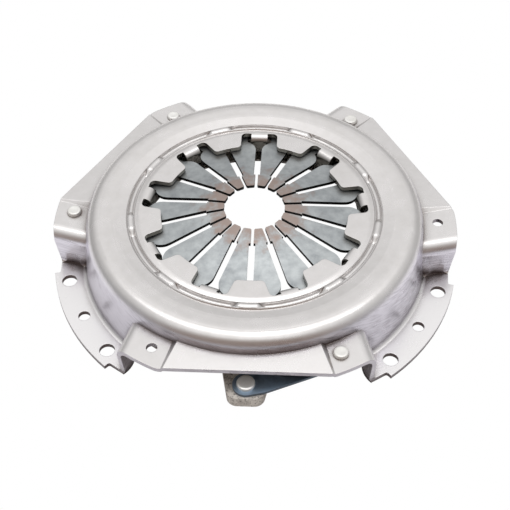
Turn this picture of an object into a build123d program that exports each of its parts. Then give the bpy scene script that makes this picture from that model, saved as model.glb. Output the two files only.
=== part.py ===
"""Diaphragm-spring clutch cover assembly, 200 mm class.

A pressed-steel cover carries a slotted diaphragm spring between its own pressed bead and a wire ring
that nine bent tabs hold. Three packs of tangential leaf straps carry the cast pressure plate.

Frame: millimetres, origin at the centre of the flywheel mounting plane (the flange's underside),
+Z towards the spring fingers. The strap bridges stand at 30, 150 and 270 degrees about Z, and the
bolting flanges between them at 90, 210 and 330 degrees.
"""
import os
from math import asin, atan2, cos, degrees, hypot, radians, sin, sqrt, tan

from build123d import *

# ---- driving dimensions -------------------------------------------------------------------------
SHEET = 2.8                     # thickness of the cover's sheet
RUN_GAP = 0.02                  # gap between pieces that touch in the real assembly
HOLE_GAP = 0.05                 # radial gap between a rivet's shank and its hole

# bolting flanges
FLANGE_R = 123.3                # outer radius of each flange
FLANGE_HALF_ANGLE = 18.75       # half the angle that each flange's full radius spans
RELIEF_R = 119.9                # outer radius at the relief beside each flange
RISER_FOOT_R = 119.0            # outer radius where the relief meets a riser
RELIEF_CORNER = 1.4             # corner radius of the relief
BOLT_CIRCLE_R = 115.0
BOLT_ANGLE = 15.0               # bolt holes each side of a flange's centre
BOLT_HOLE_R = 4.5
DOWEL_CIRCLE_R = 113.4
DOWEL_HOLE_R = 3.5
SOCKET_R = 13.6                 # room for a socket around each bolt
SOCKET_CIRCLE_R = 117.0         # the socket's scoop stands a little outside the bolt
SOCKET_ANGLE = 16.0             # and this far each side of a flange's centre
SOCKET_HEIGHT = 10.5            # height of the socket's scoop in the riser
SOCKET_FADE = 3.0               # the scoop closes in by this much
SOCKET_FADE_HEIGHT = 5.0        # over this height

# strap bridges
BRIDGE_START_ANGLE = 30.0       # first bridge, the others follow at 120 degrees
PAD_TOP = 27.7                  # top of the strap pads above the mounting plane
PAD_R = 121.4                   # outer radius of the pads
RISER_AT = 100.0                # distance from the axis at which the next size holds
RISER_HALF = 72.4               # half the distance between a bridge's two riser faces there
RISER_TAPER = 15.5              # each riser closes in towards the dome by this angle
RISER_BEND = 7.3                # outer bend radius at the top of a riser
FOOT_BEND = 2.5                 # inner bend radius at the foot of wall and risers
CHORD = 111.5                   # distance of the bridge's straight edge from the axis
CHORD_CORNER = 12.0             # corner radius between straight edge and pads
SHELF_RISE_INNER = 1.6          # how far the raised shelf stands over the pads, at the dome
SHELF_RISE_OUTER = 0.8          # and at the straight edge
SHELF_HALF_INNER = 45.5         # half length of the shelf beside the dome
SHELF_HALF_OUTER = 48.5         # half length of the shelf at the straight edge
SHELF_OFFSET = 1.6              # the shelf's middle stands off the bridge's, towards the strap's pad
SHELF_RAMP_ANGLE = 55.0         # taper of the ramp between shelf and pads
PAD_HOLE_R = 3.1                # rivet holes in the pads
PAD_HOLE_CIRCLE_R = 110.3
PAD_HOLE_ANGLE = 28.06          # pad holes each side of a bridge's centre

# dome and fulcrum
WALL_FOOT_R = 104.4             # wall's outer radius where it meets the flange's top
WALL_TOP_R = 100.1              # wall's outer radius at the dome's top
DOME_TOP = 39.3
DOME_BEND = 7.6
SHOULDER_R = 84.4               # where the dome's top starts to fall towards the bead
SHOULDER_Z = 39.1
VALLEY_Z = 37.0                 # top surface either side of the bead, if the groove were not there
RING_TOP = 38.4                 # flat ring that carries the tabs
RING_FLAT_R = 68.6
BEAD_R = 74.05                  # radius of the fulcrum bead
GROOVE_R = 1.9                  # section radius of the groove above the bead
GROOVE_FLOOR = 36.0
BEAD_SECTION_R = GROOVE_R + 1.1  # section radius of the bead's underside
GROOVE_GAP_ANGLE = 8.6          # between the centres of the round ends of two runs of the groove

# tabs
TAB_COUNT = 9
TAB_START_ANGLE = 90.0          # first bent tab, the others follow at 40 degrees
OPENING_R = 55.9                # inner edge of the wide tabs
NOTCH_R = 67.4                  # bottom of the notches between the wide tabs
NOTCH_HALF = 11.3
NOTCH_CORNER = 3.0
WIDE_TAB_CORNER = 2.8
BENT_TAB_HALF = 5.15
BENT_TAB_FACE_R = 63.0          # inner face of a bent tab where it stands upright
BENT_TAB_BEND = 4.0             # outer bend radius of a bent tab
HOOK_REACH = 3.0                # how far a hook reaches past the wire ring's centre

# diaphragm spring
FINGER_COUNT = 18
SPRING_THICKNESS = 2.2
SPRING_OUTER_R = 93.5
SPRING_KINK_R = 54.0            # where the fingers start to rise more steeply
SPRING_CONE = 0.105             # rise per millimetre of radius outside the kink
FINGER_RISE = 0.178             # the same along the fingers
FINGER_TIP_R = 18.1
FINGER_FLAT_R = 27.0            # where the fingers flatten towards their tips
TIP_RISE = 0.10
TIP_CHAMFER = 0.6
SLOT_WIDTH = 3.9
SLOT_NECK_WIDTH = 1.7           # narrower slot between the finger tips
SLOT_NECK_R = 28.7
WINDOW_OUTER_R = 70.5           # outer edge of the windows that the bent tabs pass through
WINDOW_HALF = 7.6
WINDOW_CORNER = 3.0
FINGER_SHOULDER_R = 9.0         # round shoulders of the fingers beside a window
FINGER_SHOULDER_AT = 55.5
KEYHOLE_R = 3.6                 # round ends of the slots under the wide tabs
KEYHOLE_AT = 64.0

# lower fulcrum ring
WIRE_R = 1.6

# pressure plate
PLATE_OUTER_R = 97.5
PLATE_BORE_R = 70.3             # bore where it meets the plate's back
PLATE_FACE_R = 77.0             # inner radius of the friction face, the bore widens towards it
FRICTION_FACE = 5.4             # height of the friction face above the mounting plane
PLATE_THICKNESS = 8.1
PLATE_EDGE_CHAMFER = 1.0
CREST_R = 90.0                  # radius of the bead that bears on the spring
CREST_SECTION_R = 2.2
CREST_ROOT_HALF = 5.6
CREST_GAP_COUNT = 6
CREST_GAP_WIDTH = 14.0
CREST_GAP_FLOOR = 6.0           # height left at the gaps in the crest
LUG_REACH = 119.1               # outer end of the lugs
LUG_HALF_ROOT = 14.0
LUG_HALF_END = 9.6
LUG_CORNER = 6.0
LUG_OFFSET = 0.4                # lugs stand a little off their bridge's centre
LUG_LIFT = 0.5                  # lug's underside above the friction face
LUG_HEIGHT = 7.0
LUG_RIVET_U = 110.3             # distance of the strap rivets in the lugs along the bridge's middle
LUG_SINK_DEPTH = 2.6            # counterbore for the rivet's closed head
LUG_SINK_R = 5.6

# straps
LEAF_COUNT = 2
LEAF_THICKNESS = 0.9
STRAP_WIDTH = 15.0
STRAP_FLAT_LUG = 9.0            # length from the lug's rivet to the bend where the strap starts to rise
STRAP_FLAT_PAD = 7.0            # the same from the pad's rivet
STRAP_BEND_LUG = 25.0
STRAP_BEND_PAD = 15.0

# rivets
SHANK_R = 3.0
COVER_HEAD_R = 4.15
COVER_HEAD_HEIGHT = 2.4
LUG_HEAD_R = 5.2
LUG_HEAD_HEIGHT = 1.85
CLOSED_HEAD_R = 4.6
CLOSED_HEAD_HEIGHT = 1.8
BALANCE_HEAD_R = 3.8
BALANCE_HEAD_HEIGHT = 1.9
HEAD_CHAMFER = 0.5
BALANCE_BRIDGE = 1              # the bridge whose spare pad hole holds the balance rivet

# ---- values that follow from them ---------------------------------------------------------------
PAD_UNDER = PAD_TOP - SHEET
RING_UNDER = RING_TOP - SHEET
WALL_LEAN = (WALL_FOOT_R - WALL_TOP_R) / (DOME_TOP - SHEET)
WALL_SHIFT = SHEET * sqrt(1 + WALL_LEAN**2)      # the sheet's thickness measured along the radius
BEAD_CENTRE_Z = GROOVE_FLOOR - SHEET + BEAD_SECTION_R
FULCRUM_Z = GROOVE_FLOOR - SHEET - BEAD_SECTION_R * (sqrt(1 + SPRING_CONE**2) - 1) - RUN_GAP
SPRING_DROP = SPRING_THICKNESS * sqrt(1 + SPRING_CONE**2)
WIRE_Z = FULCRUM_Z - SPRING_DROP - WIRE_R * sqrt(1 + SPRING_CONE**2) - RUN_GAP
HOOK_TOP = WIRE_Z - WIRE_R - RUN_GAP
HOOK_UNDER = HOOK_TOP - SHEET
PLATE_BACK = FRICTION_FACE + PLATE_THICKNESS
CREST_TOUCH_Z = FULCRUM_Z - (CREST_R - BEAD_R) * SPRING_CONE - SPRING_DROP - RUN_GAP
CREST_CENTRE_Z = CREST_TOUCH_Z - CREST_SECTION_R * sqrt(1 + SPRING_CONE**2)
LUG_UNDER = FRICTION_FACE + LUG_LIFT
LUG_TOP = LUG_UNDER + LUG_HEIGHT
PACK = LEAF_COUNT * LEAF_THICKNESS
STRAP_RISE = PAD_UNDER - (LUG_TOP + PACK)
OUTSIDE = 1.3 * FLANGE_R                         # a radius safely outside the whole part
ABOVE = 2.0 * DOME_TOP                           # a height safely above it

PAD_HOLE_U = PAD_HOLE_CIRCLE_R * cos(radians(PAD_HOLE_ANGLE))
PAD_HOLE_V = PAD_HOLE_CIRCLE_R * sin(radians(PAD_HOLE_ANGLE))
STRAP_LENGTH = hypot(PAD_HOLE_U - LUG_RIVET_U, PAD_HOLE_V - LUG_OFFSET)
STRAP_ANGLE = degrees(atan2(PAD_HOLE_V - LUG_OFFSET, PAD_HOLE_U - LUG_RIVET_U))


def spring_top(radius: float) -> float:
    """Height of the spring's upper surface at a radius."""
    cone = FULCRUM_Z + (BEAD_R - max(radius, SPRING_KINK_R)) * SPRING_CONE
    finger = max(SPRING_KINK_R - max(radius, FINGER_FLAT_R), 0.0) * FINGER_RISE
    tip = max(FINGER_FLAT_R - radius, 0.0) * TIP_RISE
    return cone + finger + tip


def bridges() -> PolarLocations:
    """The three strap bridges, with local X out along the bridge's middle."""
    return PolarLocations(0, 3, start_angle=BRIDGE_START_ANGLE)


def flanges() -> PolarLocations:
    """The three bolting flanges, with local X out along the flange's middle."""
    return PolarLocations(0, 3, start_angle=BRIDGE_START_ANGLE + 60)


def save(builder: BuildPart, name: str) -> None:
    """Label a finished piece and write its STEP file."""
    builder.part.label = name
    export_step(builder.part, f"parts/{name}.step")


os.makedirs("parts", exist_ok=True)

# ---- cover: the dome, turned about the axis -----------------------------------------------------
with BuildPart() as dome_outer:
    with BuildSketch(Plane.XZ):
        with BuildLine():
            top = FilletPolyline(
                (0, RING_TOP),
                (RING_FLAT_R, RING_TOP),
                (BEAD_R, VALLEY_Z),
                (SHOULDER_R, SHOULDER_Z),
                (WALL_TOP_R, DOME_TOP),
                (WALL_FOOT_R, SHEET),
                (OUTSIDE, SHEET),
                radius=[6.0, 2.0, 12.0, DOME_BEND, FOOT_BEND],
            )
            Polyline(top @ 1, (OUTSIDE, 0), (0, 0), top @ 0)
        make_face()
    revolve(axis=Axis.Z)

with BuildPart() as dome_inner:
    wall_in_top_r = WALL_TOP_R + SHEET * WALL_LEAN - WALL_SHIFT
    wall_in_foot_r = WALL_FOOT_R + SHEET * WALL_LEAN - WALL_SHIFT
    with BuildSketch(Plane.XZ):
        with BuildLine():
            under = FilletPolyline(
                (0, RING_UNDER),
                (RING_FLAT_R, RING_UNDER),
                (BEAD_R, VALLEY_Z - SHEET),
                (SHOULDER_R, SHOULDER_Z - SHEET),
                (wall_in_top_r, DOME_TOP - SHEET),
                (wall_in_foot_r, 0),
                (wall_in_foot_r + 2 * FOOT_BEND + 2 * SHEET, 0),
                radius=[6.0, 2.0, 12.0, DOME_BEND - SHEET, FOOT_BEND + SHEET],
            )
            Polyline(under @ 1, under @ 1 - (0, SHEET), (0, -SHEET), under @ 0)
        make_face()
    revolve(axis=Axis.Z)

# ---- cover: one strap bridge, along local X ------------------------------------------------------
def socket_form(radius: float) -> Part:
    """Room for a bolt's socket each side of a bridge, closing in to a cone above."""
    base = (Align.CENTER, Align.CENTER, Align.MIN)
    with BuildPart() as form:
        for side in (-1, 1):
            with PolarLocations(SOCKET_CIRCLE_R, 1, start_angle=side * (60 - SOCKET_ANGLE)):
                with Locations((0, 0, -2 * SHEET)):
                    Cylinder(radius, 2 * SHEET + SOCKET_HEIGHT, align=base)
                with Locations((0, 0, SOCKET_HEIGHT)):
                    Cone(radius, radius - SOCKET_FADE, SOCKET_FADE_HEIGHT, align=base)
    return form.part


BRIDGE_FROM = 60.0              # the bridge's block starts inside the dome
riser_slope = tan(radians(RISER_TAPER))


def riser_half(reach: float, inset: float) -> float:
    """Half the distance between the risers at a distance from the axis, `inset` inside their faces."""
    return RISER_HALF - (RISER_AT - reach) * riser_slope - inset / cos(radians(RISER_TAPER))


def riser_block(inset: float) -> Part:
    """A bridge's block between pads and flange, `inset` inside the cover's outer faces."""
    block_top = PAD_TOP - inset
    foot_z = SHEET - inset
    near = riser_half(BRIDGE_FROM, inset)
    far = riser_half(OUTSIDE, inset)
    spread = 2 * (FOOT_BEND + inset)
    with BuildPart() as block:
        for height, wider in ((PAD_TOP, 0), (SHEET, spread)):
            with BuildSketch(Plane.XY.offset(-inset)):
                with BuildLine():
                    Polyline(
                        (BRIDGE_FROM, -near - wider),
                        (OUTSIDE, -far - wider),
                        (OUTSIDE, far + wider),
                        (BRIDGE_FROM, near + wider),
                        close=True,
                    )
                make_face()
            extrude(amount=height)
        long_edges = block.edges().filter_by(lambda edge: edge.length > OUTSIDE - BRIDGE_FROM)
        fillet(long_edges.filter_by(lambda edge: abs(edge.center().Z - block_top) < 0.01), RISER_BEND - inset)
        long_edges = block.edges().filter_by(lambda edge: edge.length > OUTSIDE - BRIDGE_FROM)
        feet = long_edges.filter_by(
            lambda edge: abs(edge.center().Z - foot_z) < 0.01 and abs(edge.center().Y) < (near + far + wider) / 2
        )
        fillet(feet, FOOT_BEND + inset)
    return block.part


with BuildPart() as shelf_form:
    shelf_base = PAD_TOP - SHELF_RISE_OUTER
    shelf_lean = (SHELF_HALF_OUTER - SHELF_HALF_INNER) / (CHORD - WALL_TOP_R)
    half_at_start = SHELF_HALF_INNER - shelf_lean * (WALL_TOP_R - BRIDGE_FROM)
    half_at_end = SHELF_HALF_OUTER + shelf_lean * (OUTSIDE - CHORD)
    with BuildSketch(Plane.XY.offset(shelf_base)):
        with BuildLine():
            Polyline(
                (BRIDGE_FROM, SHELF_OFFSET - half_at_start),
                (OUTSIDE, SHELF_OFFSET - half_at_end),
                (OUTSIDE, SHELF_OFFSET + half_at_end),
                (BRIDGE_FROM, SHELF_OFFSET + half_at_start),
                close=True,
            )
        make_face()
    extrude(amount=4 * SHELF_RISE_INNER, taper=SHELF_RAMP_ANGLE)
    shelf_fall = degrees(atan2(SHELF_RISE_INNER - SHELF_RISE_OUTER, CHORD - WALL_TOP_R))
    shelf_edge = Location((CHORD, 0, PAD_TOP + SHELF_RISE_OUTER), (0, shelf_fall, 0))
    split(bisect_by=Plane(shelf_edge), keep=Keep.BOTTOM)

with BuildPart() as bridge_outer:
    add(riser_block(0))
    add(shelf_form.part)
    add(socket_form(SOCKET_R), mode=Mode.SUBTRACT)

with BuildPart() as bridge_inner:
    add(riser_block(SHEET))
    with Locations((0, 0, -SHEET)):
        add(shelf_form.part)
    add(socket_form(SOCKET_R + SHEET), mode=Mode.SUBTRACT)

# ---- cover: outline seen along the axis ----------------------------------------------------------
riser_from_axis = (RISER_HALF - RISER_AT * riser_slope) * cos(radians(RISER_TAPER))
riser_meets = RISER_TAPER + degrees(asin(riser_from_axis / RISER_FOOT_R))
with BuildSketch() as flange_lobe:
    with BuildLine():
        lobe = CenterArc((0, 0), FLANGE_R, -FLANGE_HALF_ANGLE, 2 * FLANGE_HALF_ANGLE)
        for lobe_end, side in ((lobe @ 1, 1), (lobe @ 0, -1)):
            relief = [
                (reach * cos(radians(turn)), side * reach * sin(radians(turn)))
                for reach, turn in ((RELIEF_R, FLANGE_HALF_ANGLE), (RISER_FOOT_R, 60 - riser_meets))
            ]
            Polyline(lobe_end, *relief, (0, 0))
    make_face()

with BuildPart() as outline:
    with BuildSketch(Plane.XY.offset(-SHEET)) as flange_outline:
        Circle(RISER_FOOT_R)
        with flanges():
            add(flange_lobe.sketch)
        relief_corners = flange_outline.vertices().filter_by(
            lambda corner: abs(hypot(corner.X, corner.Y) - RELIEF_R) < RELIEF_CORNER / 4
        )
        fillet(relief_corners, RELIEF_CORNER)
    extrude(amount=2 * SHEET)
    with BuildSketch(Plane.XY.offset(SHEET)) as pad_outline:
        Circle(PAD_R)
        with bridges():
            with Locations((CHORD, 0)):
                Rectangle(FLANGE_R, 2 * FLANGE_R, align=(Align.MIN, Align.CENTER), mode=Mode.SUBTRACT)
        fillet(pad_outline.vertices(), CHORD_CORNER)
    extrude(amount=ABOVE)
    with BuildSketch(Plane.XZ):
        with BuildLine():
            Polyline(
                (RISER_FOOT_R, SHEET),
                (PAD_R, PAD_TOP - RISER_BEND),
                (OUTSIDE, PAD_TOP - RISER_BEND),
                (OUTSIDE, SHEET),
                close=True,
            )
        make_face()
    revolve(axis=Axis.Z, mode=Mode.SUBTRACT)

# ---- cover: opening between the tabs, one bent tab, and the socket scoops ------------------------
with BuildPart() as tab_opening:
    with BuildSketch(Plane.XY.offset(RING_UNDER - SHEET)) as opening_sketch:
        Circle(OPENING_R)
        with PolarLocations(0, TAB_COUNT, start_angle=TAB_START_ANGLE):
            with Locations((NOTCH_R, 0)):
                Rectangle(NOTCH_R / 2, 2 * NOTCH_HALF, align=(Align.MAX, Align.CENTER))
        corner_radius = hypot(NOTCH_R, NOTCH_HALF)
        notch_corners = opening_sketch.vertices().filter_by(
            lambda corner: abs(hypot(corner.X, corner.Y) - corner_radius) < 1
        )
        fillet(notch_corners, NOTCH_CORNER)
        tab_corners = opening_sketch.vertices().filter_by(
            lambda corner: abs(hypot(corner.X, corner.Y) - OPENING_R) < 0.1
        )
        fillet(tab_corners, WIDE_TAB_CORNER)
    extrude(amount=ABOVE)

with BuildPart() as bent_tab:
    root_r = max(NOTCH_R, BENT_TAB_FACE_R + BENT_TAB_BEND) + SHEET / 8
    hook_end_r = BEAD_R + HOOK_REACH
    tab_bend_in = BENT_TAB_BEND - SHEET
    with BuildSketch(Plane.XZ):
        with BuildLine():
            face_side = FilletPolyline(
                (root_r, RING_TOP),
                (BENT_TAB_FACE_R, RING_TOP),
                (BENT_TAB_FACE_R, HOOK_UNDER),
                (hook_end_r, HOOK_UNDER),
                radius=BENT_TAB_BEND,
            )
            back_side = FilletPolyline(
                (hook_end_r, HOOK_TOP),
                (BENT_TAB_FACE_R + SHEET, HOOK_TOP),
                (BENT_TAB_FACE_R + SHEET, RING_UNDER),
                (root_r, RING_UNDER),
                radius=tab_bend_in,
            )
            Line(face_side @ 1, back_side @ 0)
            Line(back_side @ 1, face_side @ 0)
        make_face()
    extrude(amount=BENT_TAB_HALF, both=True)

with BuildPart() as groove_run:
    groove_arc = 360.0 / TAB_COUNT - GROOVE_GAP_ANGLE
    with BuildSketch(Plane.XZ):
        with Locations((BEAD_R, GROOVE_FLOOR + GROOVE_R)):
            Circle(GROOVE_R)
    revolve(axis=Axis.Z, revolution_arc=groove_arc)
    for run_end in (0, groove_arc):
        with PolarLocations(BEAD_R, 1, start_angle=run_end):
            with Locations((0, 0, GROOVE_FLOOR + GROOVE_R)):
                Sphere(GROOVE_R)

# ---- cover: put together -------------------------------------------------------------------------
with BuildPart() as cover:
    add(dome_outer.part)
    with bridges():
        add(bridge_outer.part)
    add(dome_inner.part, mode=Mode.SUBTRACT)
    with bridges():
        add(bridge_inner.part, mode=Mode.SUBTRACT)
    add(outline.part, mode=Mode.INTERSECT)
    with BuildSketch(Plane.XZ):
        with Locations((BEAD_R, BEAD_CENTRE_Z)):
            Circle(BEAD_SECTION_R)
    revolve(axis=Axis.Z)
    with PolarLocations(0, TAB_COUNT, start_angle=TAB_START_ANGLE - groove_arc / 2):
        add(groove_run.part, mode=Mode.SUBTRACT)
    add(tab_opening.part, mode=Mode.SUBTRACT)
    with PolarLocations(0, TAB_COUNT, start_angle=TAB_START_ANGLE):
        add(bent_tab.part)
    for side in (-1, 1):
        with PolarLocations(BOLT_CIRCLE_R, 3, start_angle=BRIDGE_START_ANGLE + 60 + side * BOLT_ANGLE):
            Hole(BOLT_HOLE_R, depth=2 * SHEET)
        with PolarLocations(PAD_HOLE_CIRCLE_R, 3, start_angle=BRIDGE_START_ANGLE + side * PAD_HOLE_ANGLE):
            with Locations((0, 0, PAD_TOP)):
                Hole(PAD_HOLE_R, depth=2 * SHEET)
    with PolarLocations(DOWEL_CIRCLE_R, 3, start_angle=BRIDGE_START_ANGLE + 60):
        Hole(DOWEL_HOLE_R, depth=2 * SHEET)
save(cover, "cover")

# ---- diaphragm spring: one of the windows that the bent tabs pass through -------------------------
with BuildPart() as window_form:
    with BuildSketch() as window_sketch:
        with Locations((FINGER_SHOULDER_AT, 0)):
            Rectangle(
                WINDOW_OUTER_R - FINGER_SHOULDER_AT, 2 * WINDOW_HALF, align=(Align.MIN, Align.CENTER)
            )
        fillet(window_sketch.vertices().group_by(Axis.X)[-1], WINDOW_CORNER)
        for side in (-1, 1):
            with Locations((FINGER_SHOULDER_AT, side * (SLOT_WIDTH / 2 + FINGER_SHOULDER_R))):
                Circle(FINGER_SHOULDER_R, mode=Mode.SUBTRACT)
    extrude(amount=ABOVE)

# ---- diaphragm spring ----------------------------------------------------------------------------
with BuildPart() as diaphragm_spring:
    with BuildSketch(Plane.XZ):
        with BuildLine():
            upper = Polyline(
                (SPRING_OUTER_R, spring_top(SPRING_OUTER_R)),
                (SPRING_KINK_R, spring_top(SPRING_KINK_R)),
                (FINGER_FLAT_R, spring_top(FINGER_FLAT_R)),
                (FINGER_TIP_R, spring_top(FINGER_TIP_R)),
            )
            lower = Polyline(
                (FINGER_TIP_R, spring_top(FINGER_TIP_R) - SPRING_DROP),
                (FINGER_FLAT_R, spring_top(FINGER_FLAT_R) - SPRING_DROP),
                (SPRING_KINK_R, spring_top(SPRING_KINK_R) - SPRING_DROP),
                (SPRING_OUTER_R, spring_top(SPRING_OUTER_R) - SPRING_DROP),
            )
            Line(upper @ 1, lower @ 0)
            Line(lower @ 1, upper @ 0)
        make_face()
    revolve(axis=Axis.Z)
    with BuildSketch():
        slot_angle = 180.0 / FINGER_COUNT
        with PolarLocations(0, FINGER_COUNT, start_angle=slot_angle):
            with Locations((SLOT_NECK_R, 0)):
                Rectangle(
                    KEYHOLE_AT - SLOT_NECK_R, SLOT_WIDTH, align=(Align.MIN, Align.CENTER)
                )
                Rectangle(FINGER_TIP_R, SLOT_NECK_WIDTH, align=(Align.MAX, Align.CENTER))
    extrude(amount=ABOVE, mode=Mode.SUBTRACT)
    with BuildSketch():
        with PolarLocations(KEYHOLE_AT, FINGER_COUNT // 2, start_angle=TAB_START_ANGLE + 180.0 / TAB_COUNT):
            Circle(KEYHOLE_R)
    extrude(amount=ABOVE, mode=Mode.SUBTRACT)
    with PolarLocations(0, TAB_COUNT, start_angle=TAB_START_ANGLE):
        add(window_form.part, mode=Mode.SUBTRACT)
    tip_corners = diaphragm_spring.edges().filter_by(Axis.Z, tolerance=0.01).filter_by(
        lambda edge: hypot(edge.center().X, edge.center().Y) < FINGER_TIP_R + TIP_CHAMFER
    )
    chamfer(tip_corners, TIP_CHAMFER)
save(diaphragm_spring, "diaphragm_spring")

# ---- lower fulcrum ring --------------------------------------------------------------------------
with BuildPart() as fulcrum_wire_ring:
    with BuildSketch(Plane.XZ):
        with Locations((BEAD_R, WIRE_Z)):
            Circle(WIRE_R)
    revolve(axis=Axis.Z)
save(fulcrum_wire_ring, "fulcrum_wire_ring")

# ---- pressure plate ------------------------------------------------------------------------------
lug_root = PLATE_FACE_R + 2 * PLATE_EDGE_CHAMFER
with BuildPart() as lug_blank:
    with BuildSketch(Plane.XY.offset(LUG_UNDER)) as lug_sketch:
        with BuildLine():
            Polyline(
                (lug_root, LUG_OFFSET - LUG_HALF_ROOT),
                (PLATE_OUTER_R, LUG_OFFSET - LUG_HALF_ROOT),
                (LUG_REACH, LUG_OFFSET - LUG_HALF_END),
                (LUG_REACH, LUG_OFFSET + LUG_HALF_END),
                (PLATE_OUTER_R, LUG_OFFSET + LUG_HALF_ROOT),
                (lug_root, LUG_OFFSET + LUG_HALF_ROOT),
                close=True,
            )
        make_face()
        lug_corners = lug_sketch.vertices().group_by(Axis.X)[-1]
        fillet(lug_corners, LUG_CORNER)
    extrude(amount=LUG_HEIGHT)

with BuildPart() as pressure_plate:
    with BuildSketch(Plane.XZ):
        with BuildLine():
            Polyline(
                (PLATE_BORE_R, PLATE_BACK),
                (CREST_R - CREST_ROOT_HALF, PLATE_BACK),
                (CREST_R - CREST_SECTION_R, CREST_CENTRE_Z),
                (CREST_R + CREST_SECTION_R, CREST_CENTRE_Z),
                (CREST_R + CREST_ROOT_HALF, PLATE_BACK),
                (PLATE_OUTER_R - PLATE_EDGE_CHAMFER, PLATE_BACK),
                (PLATE_OUTER_R, PLATE_BACK - PLATE_EDGE_CHAMFER),
                (PLATE_OUTER_R, FRICTION_FACE + PLATE_EDGE_CHAMFER),
                (PLATE_OUTER_R - PLATE_EDGE_CHAMFER, FRICTION_FACE),
                (PLATE_FACE_R, FRICTION_FACE),
                (PLATE_BORE_R, PLATE_BACK - PLATE_EDGE_CHAMFER),
                close=True,
            )
        make_face()
        with Locations((CREST_R, CREST_CENTRE_Z)):
            Circle(CREST_SECTION_R)
    revolve(axis=Axis.Z)
    with PolarLocations(CREST_R, CREST_GAP_COUNT, start_angle=BRIDGE_START_ANGLE / 2):
        with Locations((0, 0, PLATE_BACK + CREST_GAP_FLOOR)):
            Box(
                4 * CREST_ROOT_HALF,
                CREST_GAP_WIDTH,
                ABOVE,
                align=(Align.CENTER, Align.CENTER, Align.MIN),
                mode=Mode.SUBTRACT,
            )
    with bridges():
        add(lug_blank.part)
        with Locations((LUG_RIVET_U, LUG_OFFSET, LUG_TOP)):
            Hole(SHANK_R + HOLE_GAP, depth=2 * LUG_HEIGHT)
        with Locations((LUG_RIVET_U, LUG_OFFSET, LUG_UNDER)):
            Cylinder(
                LUG_SINK_R, 2 * LUG_SINK_DEPTH, mode=Mode.SUBTRACT
            )
save(pressure_plate, "pressure_plate")


# ---- leaf straps ---------------------------------------------------------------------------------
def leaf(level: int) -> Part:
    """One strap leaf, with local X from its lug rivet towards its cover rivet."""
    low = LUG_TOP + level * LEAF_THICKNESS
    end = STRAP_WIDTH / 2
    with BuildPart() as strip:
        with BuildSketch(Plane.XZ):
            with BuildLine():
                below = FilletPolyline(
                    (-end, low),
                    (STRAP_FLAT_LUG, low),
                    (STRAP_LENGTH - STRAP_FLAT_PAD, low + STRAP_RISE),
                    (STRAP_LENGTH + end, low + STRAP_RISE),
                    radius=[STRAP_BEND_LUG, STRAP_BEND_PAD],
                )
                over = FilletPolyline(
                    (STRAP_LENGTH + end, low + STRAP_RISE + LEAF_THICKNESS),
                    (STRAP_LENGTH - STRAP_FLAT_PAD, low + STRAP_RISE + LEAF_THICKNESS),
                    (STRAP_FLAT_LUG, low + LEAF_THICKNESS),
                    (-end, low + LEAF_THICKNESS),
                    radius=[STRAP_BEND_PAD, STRAP_BEND_LUG],
                )
                Line(below @ 1, over @ 0)
                Line(over @ 1, below @ 0)
            make_face()
        extrude(amount=end, both=True)
        with BuildSketch():
            with Locations((STRAP_LENGTH / 2, 0)):
                SlotCenterToCenter(STRAP_LENGTH, STRAP_WIDTH)
            for rivet_x in (0, STRAP_LENGTH):
                with Locations((rivet_x, 0)):
                    Circle(SHANK_R + HOLE_GAP, mode=Mode.SUBTRACT)
        extrude(amount=ABOVE, mode=Mode.INTERSECT)
    return strip.part


# ---- rivets --------------------------------------------------------------------------------------
def rivet(head_base: float, head_radius: float, head_height: float, closed_base: float) -> Part:
    """A rivet on local Z: its head above `head_base`, its closed head below `closed_base`."""
    with BuildPart() as body:
        with BuildSketch(Plane.XZ):
            with BuildLine():
                half = Polyline(
                    (0, head_base + head_height),
                    (head_radius - HEAD_CHAMFER, head_base + head_height),
                    (head_radius, head_base + head_height - HEAD_CHAMFER),
                    (head_radius, head_base),
                    (SHANK_R, head_base),
                    (SHANK_R, closed_base),
                    (CLOSED_HEAD_R, closed_base),
                    (CLOSED_HEAD_R, closed_base - CLOSED_HEAD_HEIGHT + HEAD_CHAMFER),
                    (CLOSED_HEAD_R - HEAD_CHAMFER, closed_base - CLOSED_HEAD_HEIGHT),
                    (0, closed_base - CLOSED_HEAD_HEIGHT),
                )
                Line(half @ 1, half @ 0)
            make_face()
        revolve(axis=Axis.Z)
    return body.part


cover_rivet_form = rivet(PAD_TOP, COVER_HEAD_R, COVER_HEAD_HEIGHT, PAD_UNDER - PACK)
lug_rivet_form = rivet(LUG_TOP + PACK, LUG_HEAD_R, LUG_HEAD_HEIGHT, LUG_UNDER + LUG_SINK_DEPTH)
balance_rivet_form = rivet(PAD_TOP, BALANCE_HEAD_R, BALANCE_HEAD_HEIGHT, PAD_UNDER)

for index in range(3):
    bridge_angle = BRIDGE_START_ANGLE + 120 * index
    with BuildPart() as cover_rivet:
        with PolarLocations(PAD_HOLE_CIRCLE_R, 1, start_angle=bridge_angle + PAD_HOLE_ANGLE):
            add(cover_rivet_form)
    save(cover_rivet, f"cover_rivet_{index + 1}")
    with BuildPart() as lug_rivet:
        with PolarLocations(0, 1, start_angle=bridge_angle):
            with Locations((LUG_RIVET_U, LUG_OFFSET)):
                add(lug_rivet_form)
    save(lug_rivet, f"lug_rivet_{index + 1}")
    for level, layer in enumerate(("lower", "upper")):
        with BuildPart() as strap_leaf:
            with PolarLocations(0, 1, start_angle=bridge_angle):
                with Locations(Location((LUG_RIVET_U, LUG_OFFSET, 0), (0, 0, STRAP_ANGLE))):
                    add(leaf(level))
        save(strap_leaf, f"strap_{index + 1}_leaf_{layer}")

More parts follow.
